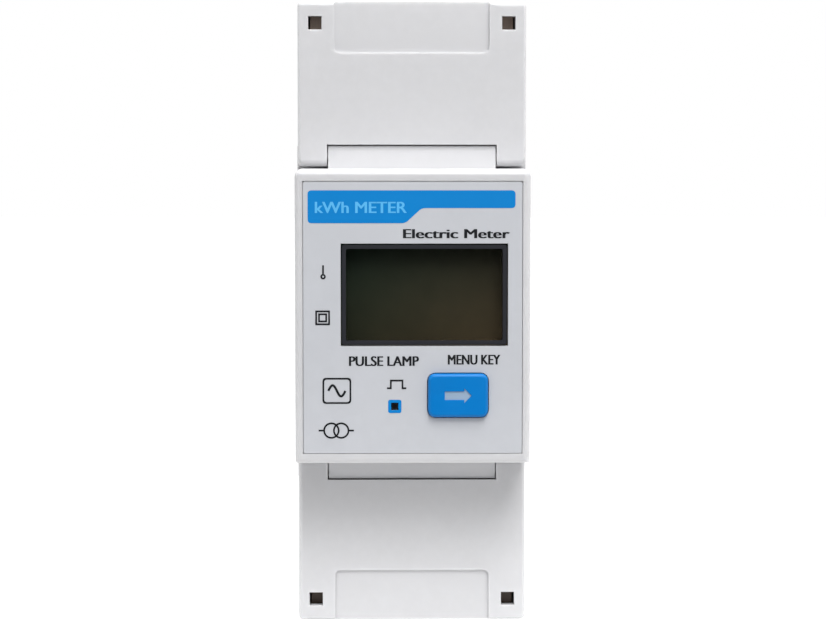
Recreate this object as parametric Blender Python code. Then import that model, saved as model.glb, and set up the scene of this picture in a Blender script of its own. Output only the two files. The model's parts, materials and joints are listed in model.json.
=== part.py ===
"""Two-module smart electric meter that clips onto a 35 mm mounting rail.

The meter stands upright: +Z is up, +X is to the right of someone who reads the
display, and +Y points back towards the rail.  The origin is the middle of the
flat seat that rests on the front of the rail.  All dimensions below are in
millimetres and are turned into metres when a mesh is made.
"""
import math

import bmesh
import bpy
from mathutils import Matrix, Vector

MM = 0.001

# ---------------------------------------------------------------- driving dimensions
HALF_WIDTH = 18.0          # two modules of 18 mm
HALF_HEIGHT = 48.5
RAISED_HALF = 22.5         # the raised section fits the 45 mm cut-out of a cabinet
FRONT_Y = -58.5            # front of the raised section
COVER_Y = -49.5            # front of the two terminal covers
PARTING_Y = -38.0          # where the two halves of the casing meet
BACK_Y = 7.0               # back of the feet on both sides of the rail
WALL = 1.6
GAP = 0.3                  # clearance between neighbouring pieces
PAST = 1.0                 # how far a cut runs past the face that it opens

# ---------------------------------------------------------------- rail and clip
RAIL_HALF = 17.5           # half the height of a 35 mm rail
SEAT_HALF = 15.5
FOOT_Z = RAIL_HALF + GAP   # inner face of both feet
FOOT_END_Z = 30.0
FOOT_SLOPE_Z = 33.0
HOOK_Z = 16.0              # how far the hooks reach over the rail's edge
HOOK_Y = 1.2               # front face of the hooks, behind a 1 mm rail
CLIP_HALF = 8.0
CLIP_Y = (HOOK_Y, 3.6)
CLIP_NECK = 5.0
CLIP_TAB = 6.5              # half the width of the tab that a screwdriver pulls
CLIP_TAB_Z = (-46.5, -40.0)
CLIP_WINDOW_Z = (-29.5, -18.5)
SPRING_RIB_Z = (-29.2, -27.6)
SPRING_RIB_HALF = 2.2
SPRING_TURNS = 7
SPRING_RADIUS = 0.95
SPRING_WIRE = 0.2

# ---------------------------------------------------------------- casing and covers
INNER_X = HALF_WIDTH - WALL
INNER_Z = HALF_HEIGHT - WALL
TONGUE_Z = 14.0            # snap tongues that hold the two halves together
TONGUE_HALF = 3.0
TONGUE_Y = (-44.0, -31.0)
TONGUE_THICK = 1.5
CATCH_DEPTH = 0.9
CATCH_Y = (-33.2, -32.6)
SNAP_WINDOW_Y = (-33.5, -31.3)
BLOCK_RIB_Z = (30.0, 43.5)  # ribs that hold the terminal blocks from behind
RIB_HALF = 0.6
BOARD_POST_X = 14.0        # posts under the main board
BOARD_POST_Z = 17.5
BOARD_POST_HALF = 1.0
TAB_HALF = 12.95           # tab of the casing between the two legs of a cover
TAB_Z = 26.0
TAB_DROP = 0.4             # how far the tab slopes back towards its outer edge
NOTCH_Y = -46.0            # back of the corner notches that the legs turn in
COVER_HALF = 17.8
LEG_X = TAB_HALF + GAP
COVER_EDGE_Z = TAB_Z + GAP
COVER_PLATE = 1.8
HINGE_Y = -47.9
HINGE_Z = 24.5
BARREL_RADIUS = HINGE_Y - COVER_Y
LEG_CORNER = 1.1
PIN_RADIUS = 0.9
PAD_HALF = 12.1            # shallow finger pad at the outer end of a cover
PAD_Z = 40.6
PAD_DEPTH = 0.4
SEAL_X = 15.1
SEAL_Z = 45.2
SEAL_HALF = 1.05

# ---------------------------------------------------------------- front panel
LABEL_X = (-16.8, 16.8)
LABEL_Z = (-21.1, 20.6)
LABEL_FLOOR_Y = FRONT_Y + 0.5
FILM_Y = (-58.45, -58.05)
BEZEL_Y = (-58.45, -57.3)
WINDOW_Y = (-57.2, -56.4)
LCD_Y = (-56.1, -53.6)
FLANGE_BACK_Y = -55.8      # back of the flanges on the button and the light pipe
FILM_FIT = 0.08
DISPLAY_X = (-10.8, 14.35)
DISPLAY_Z = (-4.35, 10.9)
DISPLAY_BORDER = 0.6
DISPLAY_FIT = 0.2
BUTTON_X = 6.92
BUTTON_Z = -12.1
BUTTON_HALF_X = 4.475
BUTTON_HALF_Z = 3.225
BUTTON_CORNER = 1.0
BUTTON_FRONT_Y = -59.3
BUTTON_FIT = 0.25
LED_X = -2.75
LED_Z = -13.8
LED_HALF = 0.475
BOSS_X = 14.2
BOSS_Z = 18.6
BOSS_RADIUS = 1.8
BOSS_HOLE_RADIUS = 1.05
BOSS_HOLE_Y = (-52.5, -46.0)

# ---------------------------------------------------------------- boards
BOARD_HALF_X = 15.6
DISPLAY_BOARD_Y = (-47.0, -45.4)
MAIN_BOARD_Y = (-25.6, -24.0)
ON_MAIN_Y = MAIN_BOARD_Y[0] - GAP      # where parts on the main board end

# ---------------------------------------------------------------- terminals
BLOCK_HALF = 15.9
BLOCK_Z = (26.6, 46.6)
BLOCK_Y = (-38.9, -15.0)
CELL_Z = 37.0
CELL_Y = (-34.9, BLOCK_Y[1])
BAR_FRONT_Y = -23.7
BAR_INNER_Z = 20.2         # end of the contact bars under the main board
HEAD_Y = (-37.6, -35.0)
HEAD_ROOM_Y = -37.9

POWER = {
    "names": ("line_in", "line_out"),
    "x": (-8.0, 8.0),
    "side": 1,
    "shank": 1.85,
    "head": 3.3,
    "access": 2.7,
    "cage_half_x": 4.3,
    "cage_half_z": 3.5,
    "cage_y": (-30.0, -15.6),
    "cage_front": 2.2,
    "cage_back": 1.6,
    "cage_side": 1.0,
    "bar_half": 3.0,
    "bar_thick": 1.5,
    "entry_half": 2.75,
    "entry_y": (-22.2, -17.2),
    "cell_half_x": 4.6,
    "slot": 0.9,
}
SIGNAL = {
    "names": ("sensor_a", "sensor_b", "data_a", "data_b"),
    "x": (-12.0, -4.0, 4.0, 12.0),
    "side": -1,
    "shank": 1.35,
    "head": 2.6,
    "access": 2.1,
    "cage_half_x": 3.2,
    "cage_half_z": 3.0,
    "cage_y": (-29.6, -17.8),
    "cage_front": 1.8,
    "cage_back": 1.2,
    "cage_side": 0.8,
    "bar_half": 1.8,
    "bar_thick": 1.2,
    "entry_half": 1.8,
    "entry_y": (-22.5, -19.0),
    "cell_half_x": 3.5,
    "slot": 0.7,
}

# name: (red, green, blue) in sRGB, roughness, metallic
FINISHES = {
    "housing_plastic": ((0.85, 0.85, 0.86), 0.42, 0.0),
    "label_film": ((0.84, 0.85, 0.87), 0.35, 0.0),
    "bezel_dark": ((0.20, 0.21, 0.24), 0.35, 0.0),
    "window_clear": ((0.55, 0.58, 0.56), 0.05, 0.0),
    "lcd_glass": ((0.14, 0.15, 0.13), 0.15, 0.0),
    "button_blue": ((0.12, 0.52, 0.80), 0.38, 0.0),
    "white_diffuser": ((0.90, 0.90, 0.88), 0.60, 0.0),
    "rubber_dark": ((0.10, 0.10, 0.11), 0.80, 0.0),
    "board_green": ((0.05, 0.30, 0.16), 0.45, 0.0),
    "terminal_brown": ((0.42, 0.34, 0.29), 0.55, 0.0),
    "brass": ((0.78, 0.62, 0.32), 0.30, 1.0),
    "steel": ((0.70, 0.71, 0.72), 0.32, 1.0),
    "chip_black": ((0.05, 0.05, 0.055), 0.50, 0.0),
    "lens_dark": ((0.03, 0.03, 0.035), 0.15, 0.0),
    "led_clear": ((0.75, 0.20, 0.18), 0.15, 0.0),
    "clip_plastic": ((0.16, 0.16, 0.17), 0.50, 0.0),
    "ferrite": ((0.17, 0.17, 0.18), 0.60, 0.0),
    "coil_tape": ((0.85, 0.72, 0.22), 0.45, 0.0),
    "capacitor_sleeve": ((0.10, 0.13, 0.25), 0.35, 0.0),
    "varistor_blue": ((0.12, 0.28, 0.55), 0.40, 0.0),
    "film_capacitor": ((0.88, 0.78, 0.30), 0.40, 0.0),
    "ceramic_cream": ((0.82, 0.76, 0.62), 0.60, 0.0),
}

PLANES = {"X": (1, 2, 0), "Y": (0, 2, 1), "Z": (0, 1, 2)}
TURNS = {
    "X": Matrix.Rotation(math.pi / 2, 4, "Y"),
    "Y": Matrix.Rotation(-math.pi / 2, 4, "X"),
    "Z": Matrix.Identity(4),
}


# ---------------------------------------------------------------- shapes
def clear_scene():
    """Remove every object that the file opened with."""
    for item in list(bpy.data.objects):
        bpy.data.objects.remove(item, do_unlink=True)


def spread(axis, u, v, along):
    """Put two coordinates of a cross-section and one along the axis in x, y, z order."""
    point = [0.0, 0.0, 0.0]
    first, second, third = PLANES[axis]
    point[first] = u
    point[second] = v
    point[third] = along
    return Vector(point)


def block(x, y, z):
    """A box between three pairs of limits."""
    shape = bmesh.new()
    size = Vector((x[1] - x[0], y[1] - y[0], z[1] - z[0]))
    middle = Vector((x[0] + x[1], y[0] + y[1], z[0] + z[1])) / 2
    matrix = Matrix.Translation(middle) @ Matrix.Diagonal((*size, 1.0))
    bmesh.ops.create_cube(shape, size=1.0, matrix=matrix)
    return shape


def rod(axis, centre, radius, span, sides=24):
    """A round bar along an axis."""
    shape = bmesh.new()
    middle = spread(axis, centre[0], centre[1], (span[0] + span[1]) / 2)
    bmesh.ops.create_cone(
        shape,
        cap_ends=True,
        segments=sides,
        radius1=radius,
        radius2=radius,
        depth=span[1] - span[0],
        matrix=Matrix.Translation(middle) @ TURNS[axis],
    )
    return shape


def prism(axis, outline, span):
    """An outline drawn across an axis and extruded along it."""
    shape = bmesh.new()
    corners = [shape.verts.new(spread(axis, u, v, span[0])) for u, v in outline]
    base = shape.faces.new(corners)
    extruded = bmesh.ops.extrude_face_region(shape, geom=[base])["geom"]
    lifted = [item for item in extruded if isinstance(item, bmesh.types.BMVert)]
    bmesh.ops.translate(shape, verts=lifted, vec=spread(axis, 0.0, 0.0, span[1] - span[0]))
    bmesh.ops.recalc_face_normals(shape, faces=shape.faces)
    return shape


def turned(axis, centre, profile, sides=24):
    """A solid of revolution: the profile lists (position along the axis, radius)."""
    shape = bmesh.new()
    rings = []
    for along, radius in profile:
        ring = []
        for step in range(sides):
            angle = 2 * math.pi * step / sides
            u = centre[0] + radius * math.cos(angle)
            v = centre[1] + radius * math.sin(angle)
            ring.append(shape.verts.new(spread(axis, u, v, along)))
        rings.append(ring)
    for ring, following in zip(rings, rings[1:]):
        for step in range(sides):
            after = (step + 1) % sides
            shape.faces.new((ring[step], ring[after], following[after], following[step]))
    shape.faces.new(rings[0])
    shape.faces.new(rings[-1])
    bmesh.ops.recalc_face_normals(shape, faces=shape.faces)
    return shape


def arc(centre, radius, start, end, steps=5):
    """Points of an arc between two angles in degrees."""
    points = []
    for step in range(steps + 1):
        angle = math.radians(start + (end - start) * step / steps)
        points.append((centre[0] + radius * math.cos(angle), centre[1] + radius * math.sin(angle)))
    return points


def rounded(u, v, radius, steps=4):
    """Outline of a rectangle with round corners."""
    centres = (
        (u[1] - radius, v[1] - radius, 0),
        (u[0] + radius, v[1] - radius, 90),
        (u[0] + radius, v[0] + radius, 180),
        (u[1] - radius, v[0] + radius, 270),
    )
    outline = []
    for centre_u, centre_v, start in centres:
        outline += arc((centre_u, centre_v), radius, start, start + 90, steps)
    return outline


def around(middle, half):
    """The pair of limits that lie the same distance on both sides of a middle."""
    return (middle - half, middle + half)


def both(half):
    """The pair of limits on both sides of zero."""
    return (-half, half)


def mirrored(side, low, high):
    """A pair of limits on the upper (1) or the lower (-1) side of zero, in rising order."""
    return tuple(sorted((side * low, side * high)))


def grown(limits, margin):
    """A pair of limits moved apart by a margin on each side."""
    return (limits[0] - margin, limits[1] + margin)


# ---------------------------------------------------------------- objects
def finish(name):
    """The material of that name, made on first use."""
    if name in bpy.data.materials:
        return bpy.data.materials[name]
    colour, roughness, metallic = FINISHES[name]
    made = bpy.data.materials.new(name)
    made.use_nodes = True
    shader = made.node_tree.nodes["Principled BSDF"]
    linear = [value ** 2.2 for value in colour]
    shader.inputs["Base Color"].default_value = (*linear, 1.0)
    shader.inputs["Roughness"].default_value = roughness
    shader.inputs["Metallic"].default_value = metallic
    made.diffuse_color = (*linear, 1.0)
    return made


def to_object(name, shape, pivot=(0.0, 0.0, 0.0)):
    """Turn a shape into an object whose origin is the pivot."""
    origin = Vector(pivot)
    bmesh.ops.translate(shape, verts=shape.verts, vec=-origin)
    bmesh.ops.scale(shape, verts=shape.verts, vec=(MM, MM, MM))
    mesh = bpy.data.meshes.new(name)
    shape.to_mesh(mesh)
    shape.free()
    mesh.shade_smooth()
    mesh.set_sharp_from_angle(angle=math.radians(30))
    made = bpy.data.objects.new(name, mesh)
    made.location = origin * MM
    bpy.context.scene.collection.objects.link(made)
    return made


def piece(name, shape, finish_name, pivot=(0.0, 0.0, 0.0)):
    """A named piece of the meter."""
    made = to_object(name, shape, pivot)
    made.data.materials.append(finish(finish_name))
    return made


def shape_with(target, operation, shapes):
    """Cut shapes from a piece, or add them to it."""
    group = bpy.data.collections.new(f"{target.name}_{operation.lower()}_{len(target.modifiers)}")
    bpy.context.scene.collection.children.link(group)
    for number, shape in enumerate(shapes):
        helper = to_object(f"{group.name}_{number}", shape)
        bpy.context.scene.collection.objects.unlink(helper)
        group.objects.link(helper)
        helper.hide_render = True
        helper.display_type = "WIRE"
    modifier = target.modifiers.new(group.name, "BOOLEAN")
    modifier.operation = operation
    modifier.solver = "EXACT"
    modifier.operand_type = "COLLECTION"
    modifier.collection = group


def cut(target, shapes):
    """Remove shapes from a piece."""
    shape_with(target, "DIFFERENCE", shapes)


def add(target, shapes):
    """Merge shapes into a piece."""
    shape_with(target, "UNION", shapes)


# ---------------------------------------------------------------- casing
def back_outline():
    """Side view (y, z) of the rear casing, with the seat, the fixed hook and both feet."""
    relief = -GAP
    return [
        (PARTING_Y, -HALF_HEIGHT),
        (PARTING_Y, HALF_HEIGHT),
        (0.0, HALF_HEIGHT),
        (0.0, FOOT_SLOPE_Z),
        (BACK_Y, FOOT_END_Z),
        (BACK_Y, FOOT_Z),
        (HOOK_Y + 2.6, HOOK_Z),
        (HOOK_Y, HOOK_Z),
        (HOOK_Y, FOOT_Z),
        (relief, FOOT_Z),
        (relief, SEAT_HALF),
        (0.0, SEAT_HALF),
        (0.0, -SEAT_HALF),
        (relief, -SEAT_HALF),
        (relief, -FOOT_Z),
        (BACK_Y, -FOOT_Z),
        (BACK_Y, -FOOT_END_Z),
        (0.0, -FOOT_SLOPE_Z),
        (0.0, -HALF_HEIGHT),
    ]


def snap_windows():
    """Openings in the side walls that the tongues of the front casing click into."""
    openings = []
    for side in (-1, 1):
        for z in (-TONGUE_Z, TONGUE_Z):
            limits = mirrored(side, INNER_X - PAST, HALF_WIDTH + PAST)
            openings.append(block(limits, SNAP_WINDOW_Y, around(z, TONGUE_HALF + GAP)))
    return openings


def wire_entries(kind, margin, start, end):
    """Openings that a wire passes on its way into each terminal of one kind."""
    half = kind["entry_half"] + margin
    span_y = grown(kind["entry_y"], margin)
    span_z = mirrored(kind["side"], start, end)
    return [block(around(x, half), span_y, span_z) for x in kind["x"]]


def rear_housing():
    """The tray that holds the main board and the terminals and sits on the rail."""
    casing = piece("rear_housing", prism("X", back_outline(), both(HALF_WIDTH)), "housing_plastic")
    cavity = block(both(INNER_X), (PARTING_Y - PAST, -WALL), both(INNER_Z))
    foot_core = block(both(INNER_X), (-WALL - PAST, BACK_Y - WALL), (FOOT_Z + WALL, FOOT_END_Z - WALL))
    channel = block(
        both(CLIP_HALF + GAP),
        grown(CLIP_Y, GAP),
        (-FOOT_SLOPE_Z - PAST, -FOOT_Z + PAST),
    )
    cut(casing, [cavity, foot_core, channel] + snap_windows())
    cut(casing, wire_entries(POWER, GAP, INNER_Z - PAST, HALF_HEIGHT + PAST))
    cut(casing, wire_entries(SIGNAL, GAP, INNER_Z - PAST, HALF_HEIGHT + PAST))

    ribs = [block(both(SPRING_RIB_HALF), grown(CLIP_Y, GAP + 0.4), SPRING_RIB_Z)]
    for side in (-1, 1):
        for z in BLOCK_RIB_Z:
            across = both(INNER_X + 0.4)
            ribs.append(block(across, (BLOCK_Y[1] + GAP, -PAST), around(side * z, RIB_HALF)))
        for z in (-BOARD_POST_Z, BOARD_POST_Z):
            limits = around(side * BOARD_POST_X, BOARD_POST_HALF)
            ribs.append(block(limits, (MAIN_BOARD_Y[1] + GAP, -PAST), around(z, BOARD_POST_HALF)))
    add(casing, ribs)


def front_outline():
    """Side view (y, z) of the front casing, from the parting line to the raised section."""
    edge = PARTING_Y - GAP
    upper = [
        (edge, TAB_Z),
        (COVER_Y + TAB_DROP, TAB_Z),
        (COVER_Y, RAISED_HALF),
        (FRONT_Y, RAISED_HALF),
    ]
    lower = [(y, -z) for y, z in reversed(upper)]
    return upper + lower


def tongue(side, z):
    """A snap tongue that reaches into the rear casing."""
    root_y, tip_y = TONGUE_Y
    inside, outside = INNER_X - TONGUE_THICK, INNER_X - GAP
    in_wall, caught = INNER_X + 0.6, INNER_X + CATCH_DEPTH
    outline = [
        (inside, root_y),
        (in_wall, root_y),
        (in_wall, PARTING_Y - 1.0),
        (outside, PARTING_Y),
        (outside, CATCH_Y[0] - 0.1),
        (caught, CATCH_Y[0]),
        (caught, CATCH_Y[1]),
        (outside, tip_y),
        (inside, tip_y),
    ]
    return prism("Z", [(side * x, y) for x, y in outline], around(z, TONGUE_HALF))


def front_housing():
    """The front half of the casing with the raised section that carries the display."""
    casing = piece("front_housing", prism("X", front_outline(), both(HALF_WIDTH)), "housing_plastic")
    open_y = PARTING_Y + PAST
    inner_tab_z = TAB_Z - WALL
    hollows = [
        block(both(INNER_X), (FRONT_Y + WALL, open_y), both(RAISED_HALF - WALL)),
        block(both(TAB_HALF - WALL), (COVER_Y + WALL, open_y), both(inner_tab_z)),
        block(both(INNER_X), (NOTCH_Y + WALL, open_y), both(inner_tab_z)),
    ]
    notches = []
    for side in (-1, 1):
        across = mirrored(side, TAB_HALF, HALF_WIDTH + PAST)
        for end in (-1, 1):
            beside_tab = mirrored(end, RAISED_HALF, TAB_Z + PAST)
            notches.append(block(across, (COVER_Y - 0.1, NOTCH_Y), beside_tab))
    cut(casing, hollows)
    cut(casing, notches)

    hinge_holes = []
    for side in (-1, 1):
        for end in (-1, 1):
            across = mirrored(side, TAB_HALF - WALL + 0.2, TAB_HALF + PAST)
            hinge_holes.append(rod("X", (HINGE_Y, end * HINGE_Z), PIN_RADIUS + 0.15, across, 16))
    cut(casing, hinge_holes)

    posts = []
    for side in (-1, 1):
        for end in (-1, 1):
            span = (FRONT_Y + WALL - 0.5, DISPLAY_BOARD_Y[0] - GAP)
            posts.append(rod("Y", (side * BOSS_X, end * BOSS_Z), BOSS_RADIUS, span, 16))
            posts.append(tongue(side, end * TONGUE_Z))
    add(casing, posts)

    through = (FRONT_Y - PAST, FRONT_Y + WALL + PAST)
    openings = [
        block(LABEL_X, (FRONT_Y - PAST, LABEL_FLOOR_Y), LABEL_Z),
        block(grown(DISPLAY_X, DISPLAY_FIT), through, grown(DISPLAY_Z, DISPLAY_FIT)),
        prism("Y", button_outline(BUTTON_FIT), through),
        block(around(LED_X, LED_HALF + 0.2), through, around(LED_Z, LED_HALF + 0.2)),
    ]
    for side in (-1, 1):
        openings.append(rod("Y", (side * BOSS_X, -BOSS_Z), BOSS_HOLE_RADIUS, BOSS_HOLE_Y, 12))
    cut(casing, openings)


# ---------------------------------------------------------------- terminal covers
def leg_outline(end):
    """Side view (y, z) of a cover leg: flat outside, rounded about the hinge pin."""
    corner = (COVER_Y + LEG_CORNER, HINGE_Z - BARREL_RADIUS + LEG_CORNER)
    outline = [(COVER_Y, COVER_EDGE_Z + GAP)]
    outline += arc(corner, LEG_CORNER, 180, 270, 4)
    outline += arc((HINGE_Y, HINGE_Z), BARREL_RADIUS, 270, 360, 6)
    outline.append((HINGE_Y + BARREL_RADIUS, COVER_EDGE_Z + GAP))
    return [(y, end * z) for y, z in outline]


def terminal_cover(name, end):
    """A hinged cover over one row of terminals; end is 1 for the upper one, -1 for the lower."""
    pivot = (0.0, HINGE_Y, end * HINGE_Z)
    outer = block(
        both(COVER_HALF),
        (COVER_Y, PARTING_Y - GAP),
        mirrored(end, COVER_EDGE_Z, HALF_HEIGHT),
    )
    cover = piece(name, outer, "housing_plastic", pivot)
    inside = block(
        both(COVER_HALF - WALL),
        (COVER_Y + COVER_PLATE, PARTING_Y + PAST),
        mirrored(end, COVER_EDGE_Z - PAST, INNER_Z),
    )
    # the edge beside the casing's tab slopes away, so that it clears the tab as the cover swings
    front, back = COVER_Y + 0.2, COVER_Y + 2.5
    below = COVER_EDGE_Z - 0.5
    slope = [(front, COVER_EDGE_Z), (back, COVER_EDGE_Z + 1.1), (back, below), (front, below)]
    relief = prism("X", [(y, end * z) for y, z in slope], both(LEG_X))
    cut(cover, [inside, relief])

    joined = []
    for side in (-1, 1):
        across = mirrored(side, LEG_X, COVER_HALF)
        joined.append(prism("X", leg_outline(end), across))
    add(cover, joined)
    pins = []
    for side in (-1, 1):
        across = mirrored(side, TAB_HALF - 1.1, LEG_X + 0.5)
        pins.append(rod("X", (HINGE_Y, end * HINGE_Z), PIN_RADIUS, across, 16))
    add(cover, pins)

    pad_y = (COVER_Y - PAST, COVER_Y + PAD_DEPTH)
    pad_outline = rounded(both(PAD_HALF), (PAD_Z, HALF_HEIGHT + 2 * PAST), 0.8, 3)
    openings = [prism("Y", [(x, end * z) for x, z in pad_outline], pad_y)]
    for side in (-1, 1):
        span_y = (COVER_Y - PAST, COVER_Y + COVER_PLATE + PAST)
        openings.append(block(around(side * SEAL_X, SEAL_HALF), span_y, around(end * SEAL_Z, SEAL_HALF)))
    cut(cover, openings)


# ---------------------------------------------------------------- front panel pieces
def button_outline(margin):
    """Front view of the button, widened by a margin."""
    return rounded(
        around(BUTTON_X, BUTTON_HALF_X + margin),
        around(BUTTON_Z, BUTTON_HALF_Z + margin),
        BUTTON_CORNER + margin,
    )


def front_overlay():
    """The printed film in the recess of the raised section."""
    film = piece(
        "front_overlay",
        prism("Y", rounded(grown(LABEL_X, -FILM_FIT), grown(LABEL_Z, -FILM_FIT), 0.3, 3), FILM_Y),
        "label_film",
    )
    through = grown(FILM_Y, PAST)
    cut(film, [
        block(grown(DISPLAY_X, DISPLAY_FIT), through, grown(DISPLAY_Z, DISPLAY_FIT)),
        prism("Y", button_outline(BUTTON_FIT), through),
        block(around(LED_X, LED_HALF + 0.1), through, around(LED_Z, LED_HALF + 0.1)),
    ])


def display_stack():
    """Everything between the panel's window and the display board."""
    bezel = piece("display_bezel", block(DISPLAY_X, BEZEL_Y, DISPLAY_Z), "bezel_dark")
    inner_x = grown(DISPLAY_X, -DISPLAY_BORDER)
    inner_z = grown(DISPLAY_Z, -DISPLAY_BORDER)
    cut(bezel, [block(inner_x, grown(BEZEL_Y, PAST), inner_z)])
    piece("display_window", block(DISPLAY_X, WINDOW_Y, DISPLAY_Z), "window_clear")
    glass_x = grown(DISPLAY_X, 0.9)
    piece("lcd_panel", block(glass_x, LCD_Y, grown(DISPLAY_Z, 1.4)), "lcd_glass")
    behind_y = (LCD_Y[1] + GAP, DISPLAY_BOARD_Y[0] - GAP)
    piece("lcd_backlight", block(glass_x, behind_y, (-3.7, 12.0)), "white_diffuser")
    piece("lcd_connector", block(grown(DISPLAY_X, -0.8), behind_y, (-5.6, -4.0)), "rubber_dark")


def arrow_outline():
    """Front view of the arrow sunk into the button."""
    tail, neck, tip = 4.88, 7.86, 8.97
    middle = BUTTON_Z
    shaft, head = 0.65, 1.13
    return [
        (tail, middle - shaft),
        (neck, middle - shaft),
        (neck, middle - head),
        (tip, middle),
        (neck, middle + head),
        (neck, middle + shaft),
        (tail, middle + shaft),
    ]


def button_and_switch():
    """The menu button, and the push switch on the display board that it works."""
    flange_y = (FRONT_Y + WALL + GAP, FLANGE_BACK_Y)
    cap = prism("Y", button_outline(0.0), (BUTTON_FRONT_Y, flange_y[1] - 0.2))
    pivot = (BUTTON_X, flange_y[0], BUTTON_Z)
    button = piece("menu_button", cap, "button_blue", pivot)
    add(button, [
        prism("Y", button_outline(0.9), flange_y),
        rod("Y", (BUTTON_X, BUTTON_Z), 1.5, (flange_y[1] - 0.4, -52.7), 16),
    ])
    cut(button, [prism("Y", arrow_outline(), (BUTTON_FRONT_Y - PAST, BUTTON_FRONT_Y + 0.15))])

    switch_y = (-51.0, DISPLAY_BOARD_Y[0] - GAP)
    body = block(around(BUTTON_X, 3.0), switch_y, around(BUTTON_Z, 3.0))
    switch = piece("switch_body", body, "chip_black")
    cut(switch, [rod("Y", (BUTTON_X, BUTTON_Z), 1.9, (switch_y[0] - PAST, -49.6), 16)])
    plunger = rod("Y", (BUTTON_X, BUTTON_Z), 1.6, (-52.4, -50.6), 16)
    piece("switch_plunger", plunger, "clip_plastic", (BUTTON_X, -52.4, BUTTON_Z))


def pulse_light():
    """The pulse lamp on the display board and the square light pipe in front of it."""
    lamp = [(-49.9, 0.7), (-49.6, 1.2), (-49.0, 1.4), (-47.8, 1.4), (-47.8, 1.7), (-47.3, 1.7)]
    piece("pulse_led", turned("Y", (LED_X, LED_Z), lamp, 16), "led_clear")
    pipe = piece(
        "led_light_pipe",
        block(around(LED_X, LED_HALF), (-58.3, -50.2), around(LED_Z, LED_HALF)),
        "lens_dark",
    )
    flange_y = (FRONT_Y + WALL + GAP, FLANGE_BACK_Y)
    add(pipe, [block(around(LED_X, 1.2), flange_y, around(LED_Z, 1.2))])


# ---------------------------------------------------------------- boards and what they carry
def display_board():
    """The board behind the display, with the two screws that hold it."""
    board = piece("display_board", block(both(BOARD_HALF_X), DISPLAY_BOARD_Y, both(20.2)), "board_green")
    through = grown(DISPLAY_BOARD_Y, PAST)
    cut(board, [rod("Y", (side * BOSS_X, -BOSS_Z), 1.2, through, 12) for side in (-1, 1)])
    shank, head = 0.9, 1.7
    head_y = DISPLAY_BOARD_Y[1] + GAP
    rim_y, top_y = head_y + 0.9, head_y + 1.2
    profile = [(-51.8, 0.6), (-51.2, shank), (head_y, shank), (head_y, head), (rim_y, head), (top_y, 1.3)]
    for side, name in ((-1, "board_screw_left"), (1, "board_screw_right")):
        x = side * BOSS_X
        screw = piece(name, turned("Y", (x, -BOSS_Z), profile, 12), "steel")
        slot_y = (head_y + 0.6, head_y + 2.0)
        cut(screw, [block(around(x, 2.2), slot_y, around(-BOSS_Z, 0.25))])


def main_board():
    """The measuring board and the header that joins it to the display board."""
    piece("main_board", block(both(BOARD_HALF_X), MAIN_BOARD_Y, both(21.5)), "board_green")
    header_y = (DISPLAY_BOARD_Y[1] + GAP, ON_MAIN_Y)
    piece("board_header", block((-3.0, 7.0), header_y, both(1.25)), "chip_black")


def transformer():
    """The supply transformer: a three-legged core and the coil on its middle leg."""
    middle_x, middle_z = -7.4, -13.0
    core = piece(
        "transformer_core",
        block(around(middle_x, 7.0), (-39.5, ON_MAIN_Y), around(middle_z, 3.0)),
        "ferrite",
    )
    windows = []
    for side in (-1, 1):
        across = tuple(sorted((middle_x + side * 1.6, middle_x + side * 5.0)))
        windows.append(block(across, (-37.3, -28.4), around(middle_z, 3.0 + PAST)))
    cut(core, windows)
    coil_y = (-37.0, -28.7)
    coil = piece(
        "transformer_coil",
        prism("Y", rounded(around(middle_x, 4.7), around(middle_z, 5.8), 1.2, 3), coil_y),
        "coil_tape",
    )
    hole = block(around(middle_x, 1.9), grown(coil_y, PAST), around(middle_z, 3.3))
    cut(coil, [hole])


def board_parts():
    """The larger parts on the measuring board."""
    foot = ON_MAIN_Y
    can = [(-37.0, 3.4), (-36.6, 3.9), (-29.0, 3.9), (-28.6, 3.6), (-28.2, 3.9), (foot, 3.9)]
    piece("filter_capacitor", turned("Y", (8.5, -12.5), can), "capacitor_sleeve")
    disc = [(10.4, 3.4), (10.9, 4.4), (13.1, 4.4), (13.6, 3.4)]
    piece("mains_varistor", turned("Z", (-9.0, foot - 4.5), disc), "varistor_blue")
    tube = [(-4.0, 0.9), (-3.4, 1.6), (7.4, 1.6), (8.0, 0.9)]
    piece("fuse_resistor", turned("X", (foot - 1.7, 18.6), tube, 16), "ceramic_cream")
    piece("safety_capacitor", block((-2.5, 10.5), (-37.0, foot), (9.5, 15.5)), "film_capacitor")
    piece("metering_chip", block((-13.0, -6.0), (foot - 1.2, foot), both(3.5)), "chip_black")
    for number, z in ((1, -3.4), (2, 3.4)):
        body = block((9.2, 13.8), (foot - 3.3, foot), around(z, 2.5))
        piece(f"optocoupler_{number}", body, "chip_black")


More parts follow.
